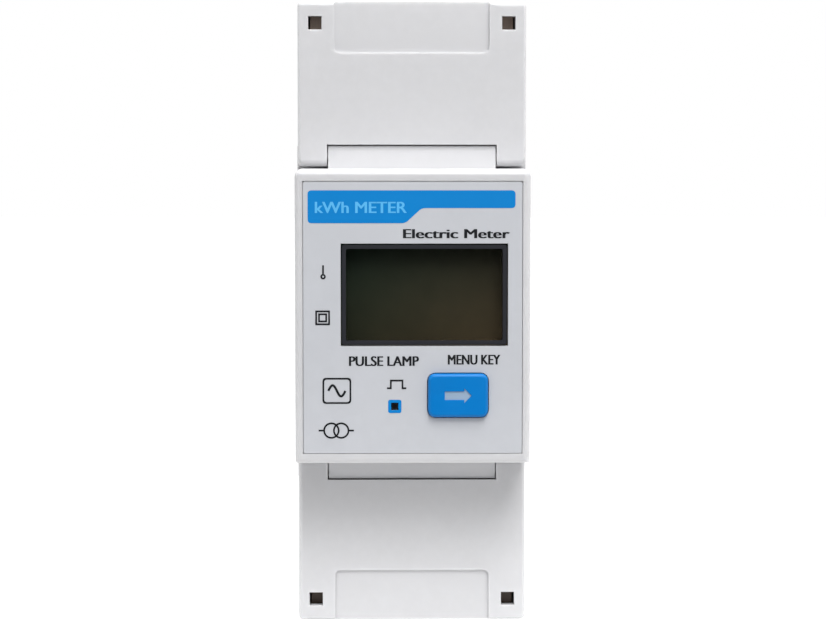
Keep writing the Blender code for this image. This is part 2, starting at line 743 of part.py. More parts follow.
# ---------------------------------------------------------------- terminals
def terminal_block(name, kind):
    """The insulating block that holds one row of terminals."""
    end = kind["side"]
    span_z = mirrored(end, *BLOCK_Z)
    body = piece(name, block(both(BLOCK_HALF), BLOCK_Y, span_z), "terminal_brown")
    lugs = []
    for side in (-1, 1):
        across = mirrored(side, SEAL_X - 1.3, BLOCK_HALF)
        lugs.append(block(across, (-47.2, BLOCK_Y[0] + PAST), mirrored(end, SEAL_Z - 1.3, BLOCK_Z[1])))
    add(body, lugs)

    cell_z = around(end * CELL_Z, kind["cage_half_z"] + GAP)
    slot_y = grown((BAR_FRONT_Y, BAR_FRONT_Y + kind["bar_thick"]), GAP)
    hollows = []
    for x in kind["x"]:
        centre = (x, end * CELL_Z)
        hollows.append(block(around(x, kind["cell_half_x"]), (CELL_Y[0], CELL_Y[1] + PAST), cell_z))
        hollows.append(rod("Y", centre, kind["head"] + 0.4, (HEAD_ROOM_Y, CELL_Y[0] + 0.5)))
        hollows.append(rod("Y", centre, kind["access"], (BLOCK_Y[0] - PAST, HEAD_ROOM_Y + 0.5)))
        inner_z = mirrored(end, BLOCK_Z[0] - PAST, CELL_Z - kind["cage_half_z"])
        hollows.append(block(around(x, kind["bar_half"] + GAP), slot_y, inner_z))
    hollows += wire_entries(kind, 0.0, CELL_Z + kind["cage_half_z"], BLOCK_Z[1] + PAST)
    cut(body, hollows)


def clamp_screw(name, kind, x):
    """A slotted screw that turns in place and draws its cage forward."""
    centre = (x, kind["side"] * CELL_Z)
    front, under = HEAD_Y
    head, shank = kind["head"], kind["shank"]
    tip = BAR_FRONT_Y - 0.4
    profile = [
        (front, head - 0.3),
        (front + 0.3, head),
        (under, head),
        (under, shank),
        (tip - 0.3, shank),
        (tip, shank - 0.3),
    ]
    screw = piece(name, turned("Y", centre, profile), "steel", (x, 0.0, centre[1]))
    slot = block(around(x, head + PAST), (front - PAST, front + 1.1), around(centre[1], kind["slot"] / 2))
    cut(screw, [slot])


def clamp_cage(name, kind, x):
    """The square loop that lifts the wire against the contact bar."""
    z = kind["side"] * CELL_Z
    front, back = kind["cage_y"]
    span_z = around(z, kind["cage_half_z"])
    loop = block(around(x, kind["cage_half_x"]), kind["cage_y"], span_z)
    cage = piece(name, loop, "steel", (x, front, z))
    inner_half = kind["cage_half_x"] - kind["cage_side"]
    inner_y = (front + kind["cage_front"], back - kind["cage_back"])
    hole_half = kind["shank"] + GAP
    cut(cage, [
        block(around(x, inner_half), inner_y, grown(span_z, PAST)),
        block(around(x, hole_half), (front - PAST, inner_y[0] + 0.5), around(z, hole_half)),
    ])


def terminals(kind):
    """Every contact bar, screw and cage in one row."""
    for name, x in zip(kind["names"], kind["x"]):
        bar_y = (BAR_FRONT_Y, BAR_FRONT_Y + kind["bar_thick"])
        bar_z = mirrored(kind["side"], BAR_INNER_Z, CELL_Z + kind["cage_half_z"])
        bar = block(around(x, kind["bar_half"]), bar_y, bar_z)
        piece(f"{name}_contact", bar, "brass")
        clamp_screw(f"{name}_screw", kind, x)
        clamp_cage(f"{name}_cage", kind, x)


# ---------------------------------------------------------------- rail clip
def rail_clip():
    """The sliding clip under the rail, with a window for its spring and a slot to pull it by."""
    tab_end, tab_top = CLIP_TAB_Z
    right = [
        (CLIP_HALF, -HOOK_Z),
        (CLIP_HALF, -FOOT_END_Z - 0.5),
        (CLIP_NECK, -FOOT_SLOPE_Z),
        (CLIP_NECK, tab_top),
        (CLIP_TAB, tab_top - 1.0),
        (CLIP_TAB, tab_end),
    ]
    outline = right + [(-x, z) for x, z in reversed(right)]
    pivot = (0.0, CLIP_Y[0], -HOOK_Z)
    clip = piece("rail_clip", prism("Y", outline, CLIP_Y), "clip_plastic", pivot)
    back, top = CLIP_Y[1] + 0.2, -HOOK_Z + 0.2
    lead_in = [(back, top), (back, top - 1.7), (back - 1.6, top)]
    cut(clip, [
        block(both(2.6), grown(CLIP_Y, PAST), CLIP_WINDOW_Z),
        block(both(3.0), grown(CLIP_Y, PAST), (-44.5, -42.3)),
        prism("X", lead_in, both(CLIP_HALF + PAST)),
    ])


def rail_clip_spring():
    """The coil spring that pushes the clip up against the rail."""
    low, high = SPRING_RIB_Z[1] + GAP, CLIP_WINDOW_Z[1] - GAP
    steps = SPRING_TURNS * 12
    rise = (high - low - 2 * SPRING_WIRE) / steps
    axis_y = (CLIP_Y[0] + CLIP_Y[1]) / 2
    wire = bpy.data.curves.new("rail_clip_spring", "CURVE")
    wire.dimensions = "3D"
    wire.bevel_depth = SPRING_WIRE * MM
    wire.bevel_resolution = 1
    wire.use_fill_caps = True
    path = wire.splines.new("POLY")
    path.points.add(steps)
    for step, point in enumerate(path.points):
        angle = 2 * math.pi * step / 12
        x = SPRING_RADIUS * math.cos(angle)
        y = axis_y + SPRING_RADIUS * math.sin(angle)
        z = low + SPRING_WIRE + rise * step
        point.co = (x * MM, y * MM, z * MM, 1.0)
    spring = bpy.data.objects.new("rail_clip_spring", wire)
    wire.materials.append(finish("steel"))
    bpy.context.scene.collection.objects.link(spring)


def build():
    """Make the whole meter."""
    clear_scene()
    rear_housing()
    front_housing()
    terminal_cover("upper_terminal_cover", 1)
    terminal_cover("lower_terminal_cover", -1)
    front_overlay()
    display_stack()
    button_and_switch()
    pulse_light()
    display_board()
    main_board()
    transformer()
    board_parts()
    terminal_block("upper_terminal_block", POWER)
    terminal_block("lower_terminal_block", SIGNAL)
    terminals(POWER)
    terminals(SIGNAL)
    rail_clip()
    rail_clip_spring()


build()
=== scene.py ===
"""Looks of the two-module smart electric meter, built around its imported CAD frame.

All dimensions below are in millimetres in the part's frame: +Z is up, +X is to the
right of someone who reads the display, and -Y points towards that person.
"""

import json
import math

import bmesh
import bpy
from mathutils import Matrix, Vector

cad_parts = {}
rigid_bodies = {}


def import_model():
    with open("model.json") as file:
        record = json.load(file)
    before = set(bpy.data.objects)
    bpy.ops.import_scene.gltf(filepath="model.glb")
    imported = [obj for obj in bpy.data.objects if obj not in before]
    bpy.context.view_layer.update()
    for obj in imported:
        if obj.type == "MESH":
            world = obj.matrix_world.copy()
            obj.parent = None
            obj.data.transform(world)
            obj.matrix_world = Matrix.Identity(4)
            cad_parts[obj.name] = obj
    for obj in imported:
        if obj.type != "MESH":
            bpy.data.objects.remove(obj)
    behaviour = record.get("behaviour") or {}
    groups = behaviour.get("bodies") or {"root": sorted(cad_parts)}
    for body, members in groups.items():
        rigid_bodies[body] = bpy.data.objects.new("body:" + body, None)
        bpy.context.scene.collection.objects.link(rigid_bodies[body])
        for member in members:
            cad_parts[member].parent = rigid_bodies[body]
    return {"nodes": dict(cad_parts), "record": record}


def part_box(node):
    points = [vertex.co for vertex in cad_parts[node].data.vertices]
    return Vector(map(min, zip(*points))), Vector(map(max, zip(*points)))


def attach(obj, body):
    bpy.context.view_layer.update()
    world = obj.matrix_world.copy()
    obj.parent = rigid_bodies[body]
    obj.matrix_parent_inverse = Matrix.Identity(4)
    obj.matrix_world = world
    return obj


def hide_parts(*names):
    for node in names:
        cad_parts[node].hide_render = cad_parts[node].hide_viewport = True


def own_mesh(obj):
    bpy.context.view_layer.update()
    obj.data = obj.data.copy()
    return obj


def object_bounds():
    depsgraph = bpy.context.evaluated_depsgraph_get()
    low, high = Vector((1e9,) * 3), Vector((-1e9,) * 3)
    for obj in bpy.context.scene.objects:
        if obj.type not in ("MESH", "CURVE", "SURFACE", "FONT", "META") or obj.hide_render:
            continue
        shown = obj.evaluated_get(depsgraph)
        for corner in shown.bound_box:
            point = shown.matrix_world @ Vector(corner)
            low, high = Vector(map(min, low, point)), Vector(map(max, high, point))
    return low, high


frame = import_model()
CAD_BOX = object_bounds()

MM = 0.001
NODES = frame["nodes"]
BODY_OF = {
    node: body
    for body, names in frame["record"]["behaviour"]["bodies"].items()
    for node in names
}

# ---------------------------------------------------------------- edges of the casing
RAISED_HALF = 22.5             # half height of the raised section, for a 45 mm cut-out
NEAR = 0.05                    # two coordinates this close are the same place
WELD = 0.001                   # points this close are one point
FLAT = math.radians(0.3)       # faces that meet at less than this are one face
SHARP = math.radians(28)       # edges sharper than this are rounded
RAISED_TOP_ROUND = 1.15
RAISED_SIDE_ROUND = 1.0
RAISED_FOOT_ROUND = 0.25
RAISED_TOP_CORNER = 1.2
RAISED_FOOT_CORNER = 0.35
OUTER_CORNER = 0.7             # corners of the covers and of the rear casing
COVER_FRONT_ROUND = 0.45
LEG_ROUND = 0.8
LEG_REACH = 2.0                # height of the rounded end of a cover's leg
BACK_ROUND = 0.6
BUTTON_ROUND = 0.55
BEZEL_ROUND = 0.35
FINE_ROUND = 0.08              # edges that no rule names
CASING_FINE_ROUND = 0.06
BEZEL_FINE_ROUND = 0.12
BUTTON_FINE_ROUND = 0.04
THIN_FINE_ROUND = 0.02
TAB_CLOSER = 0.13              # how much less than the CAD the gap round a tab is
BUTTON_CLOSER = 0.14           # and the gap round the button

# ---------------------------------------------------------------- printed label
INK_DEPTH = 0.02
NUMBER_HALF = 0.6              # half width of a terminal number, a third of its height
NUMBER_FOOT_ABOVE = 29.2
NUMBER_FOOT_BELOW = -31.0
BLOCK_FACE_Y = -38.9           # front of both terminal blocks
BANNER = [(-16.0, 19.2), (15.65, 19.2), (15.65, 16.5), (1.36, 16.5), (-1.13, 14.2), (-16.0, 14.2)]
BANNER_CORNER = 0.6
BANNER_TEXT = ("kWh METER", (-14.9, -0.9), (15.75, 17.45))      # words, x limits, z limits
TITLE_TEXT = ("Electric Meter", (-1.5, 14.8), (11.9, 13.3))
LAMP_TEXT = ("PULSE LAMP", (-9.75, 0.95), (-7.6, -6.1))
BUTTON_TEXT = ("MENU KEY", (5.35, 13.4), (-7.4, -5.9))
BANNER_WEIGHT = 0.12           # how much wider than plain each stroke is printed
TITLE_WEIGHT = 0.20
SMALL_WEIGHT = 0.15
LINE = 0.27
RING_END = 352                 # degrees at which a printed ring ends
CLASS_SQUARE = ((-13.75, -0.22), 1.12, 0.68)      # middle, outer and inner half width
TERMINAL_MARK = (-13.67, 6.06, 0.42, 7.8)                       # x, z, radius, top of the stroke
SINE_FRAME = ((-13.8, -9.4), (-13.4, -9.4))                     # x limits, z limits
SINE_FRAME_CORNER = 0.6
SINE_FRAME_INNER_CORNER = 0.45
SINE_HALF = 1.3
SINE_RISE = 0.85
SINE_STEPS = 24
WINDING_MARK = ((-11.7, -17.5), 1.25, 0.75, 2.7)                # middle, radius, offset, reach
PULSE_MARK = ((-3.95, -0.98), (-11.15, -9.7))                   # x limits, z limits
LAMP_RING_HALF = 1.015
LAMP_RING_CORNER = 0.35
LAMP_HOLE_HALF = 0.56
ARROW_TAIL_X = -2.04           # from the middle of the button
ARROW_NECK_X = 0.94
ARROW_TIP_X = 2.05
ARROW_SHAFT = 0.65
ARROW_HEAD = 1.13
ARROW_DEPTH = 0.15
ARROW_MARGIN = 0.4             # the button's rim lies at least this far from its arrow

# ---------------------------------------------------------------- camera and lights
CAMERA_AT = (-5.0, -390.0, 19.97)
CAMERA_TURN = math.radians(-0.87)
CAMERA_TILT = math.radians(3.28)
CAMERA_LENS = 94.87
CAMERA_SENSOR = 36.0
# place, target, size, power
KEY_LIGHT = ((70.0, -250.0, 390.0), (0.0, -45.0, 10.0), 300.0, 2.3)
FRONT_LIGHT = ((60.0, -420.0, 480.0), (0.0, -50.0, -5.0), 420.0, 0.96)
SKY_BELOW = 0.10               # brightness of the surroundings straight below
SKY_ABOVE = 1.16
SKY_BEHIND_CAMERA = 0.08       # share of it that is left behind the camera
FLOOR_X = (-1800.0, 1800.0)
FLOOR_Y = (-92.0, 4200.0)      # it starts just in front of the meter


# ---------------------------------------------------------------- materials
def linear(red, green, blue):
    """A linear colour from sRGB values between 0 and 255."""
    made = []
    for value in (red, green, blue):
        share = value / 255
        made.append(share / 12.92 if share <= 0.04045 else ((share + 0.055) / 1.055) ** 2.4)
    return (*made, 1.0)


def shade(colour, factor):
    """A colour made lighter or darker."""
    return (*(min(1.0, value * factor) for value in colour[:3]), 1.0)


class Graph:
    """A material's node tree, with short ways to add the nodes used here."""

    def __init__(self, name):
        self.material = bpy.data.materials.new(name)
        self.material.use_nodes = True
        self.tree = self.material.node_tree
        self.shader = self.tree.nodes["Principled BSDF"]
        self.place = self.tree.nodes.new("ShaderNodeTexCoord").outputs["Object"]

    def join(self, source, target):
        """Link two sockets."""
        self.tree.links.new(source, target)

    def noise(self, size_mm, detail=4.0, roughness=0.55):
        """Noise with features of a size."""
        node = self.tree.nodes.new("ShaderNodeTexNoise")
        node.inputs["Scale"].default_value = 1.0 / (size_mm * MM)
        node.inputs["Detail"].default_value = detail
        node.inputs["Roughness"].default_value = roughness
        self.join(self.place, node.inputs["Vector"])
        return node.outputs["Fac"]

    def spread(self, source, low, high, start=0.3, end=0.7):
        """A value brought from one range to another."""
        node = self.tree.nodes.new("ShaderNodeMapRange")
        node.inputs["From Min"].default_value = start
        node.inputs["From Max"].default_value = end
        node.inputs["To Min"].default_value = low
        node.inputs["To Max"].default_value = high
        self.join(source, node.inputs["Value"])
        return node.outputs["Result"]

    def mix(self, factor, first, second):
        """A colour between two colours."""
        node = self.tree.nodes.new("ShaderNodeMix")
        node.data_type = "RGBA"
        self.join(factor, node.inputs["Factor"])
        for value, socket in ((first, node.inputs["A"]), (second, node.inputs["B"])):
            if isinstance(value, bpy.types.NodeSocket):
                self.join(value, socket)
            else:
                socket.default_value = value
        return node.outputs["Result"]

    def edge(self, start=0.51, end=0.56):
        """1 on worn convex edges and 0 on flat faces."""
        geometry = self.tree.nodes.new("ShaderNodeNewGeometry")
        return self.spread(geometry.outputs["Pointiness"], 0.0, 1.0, start, end)

    def multiply(self, first, second):
        """The product of a value and another value or a number."""
        node = self.tree.nodes.new("ShaderNodeMath")
        node.operation = "MULTIPLY"
        self.join(first, node.inputs[0])
        if isinstance(second, bpy.types.NodeSocket):
            self.join(second, node.inputs[1])
        else:
            node.inputs[1].default_value = second
        return node.outputs["Value"]

    def bump(self, height, depth_mm, strength=1.0):
        """Relief of a depth on the surface."""
        node = self.tree.nodes.new("ShaderNodeBump")
        node.inputs["Distance"].default_value = depth_mm * MM
        node.inputs["Strength"].default_value = strength
        self.join(height, node.inputs["Height"])
        self.join(node.outputs["Normal"], self.shader.inputs["Normal"])


def surface(
    name,
    colour,
    roughness,
    metallic=0.0,
    mottle=0.03,
    grain=(0.12, 0.004),
    wear=0.25,
    shift=1.1,
):
    """A moulded, painted or metal surface: mottled, finely grained and worn at its edges."""
    graph = Graph(name)
    patches = graph.spread(graph.noise(9.0), 0.0, 1.0)
    base = graph.mix(patches, shade(colour, 1.0 - mottle), shade(colour, 1.0 + mottle))
    fine = graph.noise(grain[0], 3.0)
    worn = graph.multiply(graph.edge(), graph.spread(graph.noise(1.6), 0.0, wear, 0.4, 0.7))
    graph.join(graph.mix(worn, base, shade(colour, shift)), graph.shader.inputs["Base Color"])
    gloss = graph.spread(graph.noise(4.0, 5.0), roughness - 0.05, roughness + 0.05)
    graph.join(gloss, graph.shader.inputs["Roughness"])
    graph.shader.inputs["Metallic"].default_value = metallic
    graph.bump(fine, grain[1])
    return graph


def casing_surface():
    """Fine satin moulding in a white plastic that lets a little light through."""
    graph = surface(
        "housing_plastic", linear(196, 196, 198), 0.42, mottle=0.012, grain=(0.16, 0.006)
    )
    graph.shader.inputs["Subsurface Weight"].default_value = 0.6
    graph.shader.inputs["Subsurface Radius"].default_value = (1.0, 0.97, 0.93)
    graph.shader.inputs["Subsurface Scale"].default_value = 1.2 * MM
    return graph


def lcd_surface():
    """A switched-off display in its own dark green-brown tint, with painted light towards the
    lower right.
    """
    graph = surface(
        "lcd_glass", linear(30, 34, 28), 0.35, mottle=0.10, grain=(0.2, 0.001), wear=0.0
    )
    low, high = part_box("display_bezel")
    split = graph.tree.nodes.new("ShaderNodeSeparateXYZ")
    graph.join(graph.place, split.inputs["Vector"])
    across = graph.spread(split.outputs["X"], 0.0, 1.0, low.x, high.x)
    upward = graph.spread(split.outputs["Z"], 0.0, 1.0, low.z, high.z)
    # Painted light: lighter and browner towards the lower right, and the top colours lightened
    # against the shade under the bezel; the green-brown tint itself is the display's own
    bottom = graph.mix(across, linear(50, 53, 38), linear(90, 77, 56))
    top = graph.mix(across, linear(36, 52, 42), linear(56, 57, 45))
    base = graph.mix(upward, bottom, top)
    patches = graph.spread(graph.noise(6.0), 0.0, 0.25)
    graph.join(graph.mix(patches, base, linear(24, 26, 22)), graph.shader.inputs["Base Color"])
    graph.shader.inputs["Specular IOR Level"].default_value = 0.15
    return graph


def window_surface():
    """A thin clear window with an anti-glare finish."""
    tone = linear(16, 18, 17)
    graph = surface("window_clear", tone, 0.12, mottle=0.05, grain=(0.3, 0.0005), wear=0.0)
    graph.shader.inputs["Alpha"].default_value = 0.16
    graph.shader.inputs["IOR"].default_value = 1.3
    return graph


def brushed(name, colour, roughness):
    """A plated metal with fine lines along one way."""
    graph = surface(name, colour, roughness, 1.0, 0.05, (0.25, 0.002), 0.5, 1.25)
    stretch = graph.tree.nodes.new("ShaderNodeMapping")
    stretch.inputs["Scale"].default_value = (1.0, 0.06, 1.0)
    graph.join(graph.place, stretch.inputs["Vector"])
    lines = graph.tree.nodes.new("ShaderNodeTexNoise")
    lines.inputs["Scale"].default_value = 1.0 / (0.08 * MM)
    lines.inputs["Detail"].default_value = 3.0
    graph.join(stretch.outputs["Vector"], lines.inputs["Vector"])
    graph.bump(lines.outputs["Fac"], 0.002)
    return graph


def circuit_surface():
    """Green solder mask with faint copper tracks under it."""
    graph = surface("board_green", linear(20, 84, 48), 0.42, mottle=0.08)
    tracks = graph.tree.nodes.new("ShaderNodeTexBrick")
    tracks.inputs["Scale"].default_value = 1.0 / (6.0 * MM)
    tracks.inputs["Mortar Size"].default_value = 0.03
    tracks.inputs["Color1"].default_value = linear(20, 84, 48)
    tracks.inputs["Color2"].default_value = linear(24, 92, 52)
    tracks.inputs["Mortar"].default_value = linear(40, 118, 64)
    turn = graph.tree.nodes.new("ShaderNodeMapping")
    turn.inputs["Rotation"].default_value = (math.pi / 2, 0.0, 0.0)
    graph.join(graph.place, turn.inputs["Vector"])
    graph.join(turn.outputs["Vector"], tracks.inputs["Vector"])
    graph.join(tracks.outputs["Color"], graph.shader.inputs["Base Color"])
    return graph


def floor_surface():
    """Plain pale studio floor with a glow of its own, slightly uneven in tone."""
    graph = Graph("floor")
    patches = graph.spread(graph.noise(400.0), 0.0, 1.0)
    tone = graph.mix(patches, linear(196, 196, 196), linear(200, 200, 200))
    glow = graph.mix(patches, linear(253, 253, 253), linear(255, 255, 255))
    graph.join(tone, graph.shader.inputs["Base Color"])
    graph.shader.inputs["Roughness"].default_value = 0.9
    graph.shader.inputs["Specular IOR Level"].default_value = 0.1
    graph.join(glow, graph.shader.inputs["Emission Color"])
    graph.shader.inputs["Emission Strength"].default_value = 0.55
    return graph


def tinted(name, colour, roughness, **more):
    """The material of a plain plastic, rubber or ink."""
    return surface(name, linear(*colour), roughness, **more).material


def make_materials():
    """Every material slot of the record, and the inks."""
    casing = casing_surface()
    film = surface("label_film", linear(182, 184, 189), 0.45, mottle=0.010, grain=(0.10, 0.002))
    made = {
        "housing_plastic": casing.material,
        "label_film": film.material,
        "bezel_dark": tinted("bezel_dark", (36, 37, 42), 0.50, mottle=0.05),
        "window_clear": window_surface().material,
        "lcd_glass": lcd_surface().material,
        "white_diffuser": tinted("white_diffuser", (228, 228, 224), 0.60),
        "rubber_dark": tinted("rubber_dark", (28, 28, 30), 0.80, grain=(0.2, 0.02)),
        "board_green": circuit_surface().material,
        "steel": brushed("steel", linear(186, 188, 190), 0.34).material,
        "button_blue": tinted("button_blue", (1, 110, 182), 0.40, mottle=0.02, shift=1.3),
        "chip_black": tinted("chip_black", (20, 20, 22), 0.50, grain=(0.15, 0.01)),
        "clip_plastic": tinted("clip_plastic", (42, 42, 44), 0.50, grain=(0.2, 0.01)),
        "led_clear": tinted("led_clear", (196, 60, 54), 0.18),
        "lens_dark": tinted("lens_dark", (9, 9, 11), 0.20),
        "ferrite": tinted("ferrite", (46, 46, 49), 0.60, grain=(0.3, 0.02)),
        "coil_tape": tinted("coil_tape", (216, 184, 60), 0.45),
        "capacitor_sleeve": tinted("capacitor_sleeve", (28, 36, 66), 0.35),
        "varistor_blue": tinted("varistor_blue", (34, 74, 142), 0.40, mottle=0.08),
        "ceramic_cream": tinted("ceramic_cream", (208, 194, 160), 0.60),
        "film_capacitor": tinted("film_capacitor", (222, 198, 80), 0.40),
        "terminal_brown": tinted(
            "terminal_brown", (78, 64, 54), 0.55, mottle=0.08, grain=(0.2, 0.012)
        ),
        "brass": brushed("brass", linear(206, 168, 92), 0.30).material,
    }
    block = {"mottle": 0.08, "grain": (0.2, 0.012)}
    flat = {"wear": 0.0, "grain": (0.08, 0.001)}
    # A lighter copy of the terminal brown for the upper block: painted light, where light from
    # above reaches it through the seal holes
    made["terminal_light"] = tinted("terminal_light", (172, 152, 138), 0.55, **block)
    made["ink_blue"] = tinted("ink_blue", (2, 118, 188), 0.50, mottle=0.02, **flat)
    made["ink_pale_blue"] = tinted("ink_pale_blue", (84, 170, 220), 0.50, mottle=0.02, **flat)
    made["ink_black"] = tinted("ink_black", (26, 27, 30), 0.45, mottle=0.10, **flat)
    made["ink_arrow"] = tinted("ink_arrow", (140, 160, 182), 0.45, mottle=0.02, **flat)
    made["ink_white"] = tinted("ink_white", (226, 226, 222), 0.50, mottle=0.03, **flat)
    inks = ("ink_blue", "ink_pale_blue", "ink_black", "ink_arrow", "ink_white")
    for name in (*inks, "button_blue", "bezel_dark"):
        shader = made[name].node_tree.nodes["Principled BSDF"]
        shader.inputs["Specular IOR Level"].default_value = 0.2
    made["floor"] = floor_surface().material
    return made


# ---------------------------------------------------------------- pieces from CAD surfaces
def limits(node):
    """Lowest and highest corner of a CAD node in millimetres."""
    low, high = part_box(node)
    return low / MM, high / MM


def joined_shape(node):
    """A CAD node's surface with its corners welded and its flat faces joined up again."""
    shape = bmesh.new()
    shape.from_mesh(NODES[node].data)
    bmesh.ops.scale(shape, verts=shape.verts, vec=(1 / MM, 1 / MM, 1 / MM))
    bmesh.ops.remove_doubles(shape, verts=shape.verts, dist=WELD)
    bmesh.ops.dissolve_limit(
        shape,
        angle_limit=FLAT,
        verts=shape.verts,
        edges=shape.edges,
    )
    return shape


def near(value, target):
    """True if two coordinates are the same place."""
    return abs(value - target) < NEAR


def both_at(edge, axis, target):
    """True if both ends of an edge lie at that coordinate."""
    return all(near(vertex.co[axis], target) for vertex in edge.verts)


def both_out(edge, axis, target):
    """True if both ends of an edge lie that far from the middle plane, on one side of it."""
    ends = [vertex.co[axis] for vertex in edge.verts]
    return all(near(abs(end), target) for end in ends) and ends[0] * ends[1] > 0


def along(edge, axis):
    """True if an edge runs along an axis."""
    reach = edge.verts[1].co - edge.verts[0].co
    return all(abs(reach[other]) < NEAR for other in range(3) if other != axis)


def widen_tabs(shape):
    """Bring the casing's two tabs a little closer to the covers, as moulded parts fit."""
    tab_z = limits("front_housing")[1].z
    ends = [vertex for vertex in shape.verts if near(abs(vertex.co.z), tab_z)]
    front = min(vertex.co.y for vertex in ends)
    tab_x = max(abs(vertex.co.x) for vertex in ends if near(vertex.co.y, front))
    sides = []
    for vertex in shape.verts:
        if near(abs(vertex.co.x), tab_x) and abs(vertex.co.z) > RAISED_HALF - NEAR:
            sides.append(vertex)
    for vertex in ends:
        vertex.co.z += math.copysign(TAB_CLOSER, vertex.co.z)
    for vertex in sides:
        vertex.co.x += math.copysign(TAB_CLOSER, vertex.co.x)


def rounded_piece(name, node, rule, fine=FINE_ROUND, adjust=None):
    """A piece that stands for a CAD node, its edges rounded as the rule says."""
    shape = joined_shape(node)
    shape.edges.index_update()
    widths = {}
    for edge in shape.edges:
        if len(edge.link_faces) == 2 and edge.calc_face_angle(0.0) > SHARP:
            width = rule(edge)
            if width:
                widths[edge.index] = width
    if adjust:
        adjust(shape)
    largest = max(widths.values(), default=0.0)
    layer = shape.edges.layers.float.new("bevel_weight_edge")
    for edge in shape.edges:
        if edge.index in widths:
            edge[layer] = widths[edge.index] / largest
    bmesh.ops.scale(shape, verts=shape.verts, vec=(MM, MM, MM))
    mesh = bpy.data.meshes.new(name)
    shape.to_mesh(mesh)
    shape.free()
    mesh.shade_smooth()
    made = bpy.data.objects.new(name, mesh)
    bpy.context.scene.collection.objects.link(made)
    if largest:
        main = made.modifiers.new("main_rounding", "BEVEL")
        main.limit_method = "WEIGHT"
        main.width = largest * MM
        main.segments = 6
        main.use_clamp_overlap = False
        main.miter_outer = "MITER_SHARP"
    soften(made, fine)
    ride_like(made, node)
    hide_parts(node)
    return made


def soften(item, width):
    """Round every sharp edge a little and keep flat faces looking flat."""
    bevel = item.modifiers.new("fine_rounding", "BEVEL")
    bevel.limit_method = "ANGLE"
    bevel.angle_limit = SHARP
    bevel.width = width * MM
    bevel.segments = 2
    bevel.use_clamp_overlap = True
    normals = item.modifiers.new("flat_faces", "WEIGHTED_NORMAL")
    normals.weight = 80


def ride_like(item, node):
    """Let a piece move with the body of a CAD node."""
    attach(item, BODY_OF[node])


def paint(item, material):
    """Give a piece its only material."""
    item.data.materials.clear()
    item.data.materials.append(material)


def front_rule(edge):
    """Rounding of the front casing's edges."""
    low, high = limits("front_housing")
    width, front = high.x, low.y
    if along(edge, 1) and both_out(edge, 0, width) and both_out(edge, 2, RAISED_HALF):
        if min(vertex.co.y for vertex in edge.verts) < front + 1.0:
            return RAISED_TOP_CORNER if edge.verts[0].co.z > 0 else RAISED_FOOT_CORNER
    if both_at(edge, 1, front):
        if both_at(edge, 2, RAISED_HALF):
            return RAISED_TOP_ROUND
        if both_at(edge, 2, -RAISED_HALF):
            return RAISED_FOOT_ROUND
        if both_out(edge, 0, width):
            return RAISED_SIDE_ROUND
    return 0.0


def cover_rule(node):
    """Rounding of a terminal cover's edges."""
    low, high = limits(node)
    outer = max(abs(low.z), abs(high.z))
    leg_z = min(abs(low.z), abs(high.z)) + LEG_REACH

    def rule(edge):
        heights = [abs(vertex.co.z) for vertex in edge.verts]
        if both_out(edge, 0, high.x) and max(heights) < leg_z:
            return LEG_ROUND
        if along(edge, 1) and both_out(edge, 0, high.x) and both_out(edge, 2, outer):
            return OUTER_CORNER
        if both_at(edge, 1, low.y) and both_out(edge, 0, high.x):
            return COVER_FRONT_ROUND
        if both_at(edge, 1, low.y) and both_out(edge, 2, outer):
            return COVER_FRONT_ROUND
        return 0.0

    return rule


def rear_rule(edge):
    """Rounding of the rear casing's edges."""
    low, high = limits("rear_housing")
    if along(edge, 1) and both_out(edge, 0, high.x) and both_out(edge, 2, high.z):
        return OUTER_CORNER
    if both_at(edge, 1, high.y) or (both_out(edge, 2, high.z) and both_at(edge, 1, 0.0)):
        return BACK_ROUND
    return 0.0


def bezel_rule(edge):
    """Rounding of the bezel's corners, outside and inside."""
    return BEZEL_ROUND if along(edge, 1) else 0.0


def shells(materials):
    """The casing's two halves and the covers."""
    plastic = materials["housing_plastic"]
    fine = CASING_FINE_ROUND
    casing = rounded_piece("front_casing", "front_housing", front_rule, fine, widen_tabs)
    paint(casing, plastic)
    for name, node, rule in (
        ("rear_casing", "rear_housing", rear_rule),
        ("upper_cover_shell", "upper_terminal_cover", cover_rule("upper_terminal_cover")),
        ("lower_cover_shell", "lower_terminal_cover", cover_rule("lower_terminal_cover")),
    ):
        paint(rounded_piece(name, node, rule), plastic)


def widen_button(shape):
    """Let the button fill its hole a little more closely, without touching its arrow."""
    low, high = limits("menu_button")
    middle = (low + high) / 2
    for vertex in shape.verts:
        across = vertex.co.x - middle.x
        rise = vertex.co.z - middle.z
        if abs(across) > ARROW_TIP_X + ARROW_MARGIN or abs(rise) > ARROW_HEAD + ARROW_MARGIN:
            vertex.co.x += BUTTON_CLOSER * across / (high.x - middle.x)
            vertex.co.z += BUTTON_CLOSER * rise / (high.z - middle.z)


def button_rule(edge):
    """Pillow edges round the front of the button."""
    low, high = limits("menu_button")
    if both_at(edge, 1, low.y) and edge.calc_face_angle(0.0) > math.radians(60):
        middle = (low + high) / 2
        reach = [abs(vertex.co.x - middle.x) for vertex in edge.verts]
        rise = [abs(vertex.co.z - middle.z) for vertex in edge.verts]
        if max(reach) > ARROW_TIP_X + ARROW_MARGIN or max(rise) > ARROW_HEAD + ARROW_MARGIN:
            return BUTTON_ROUND
    return 0.0


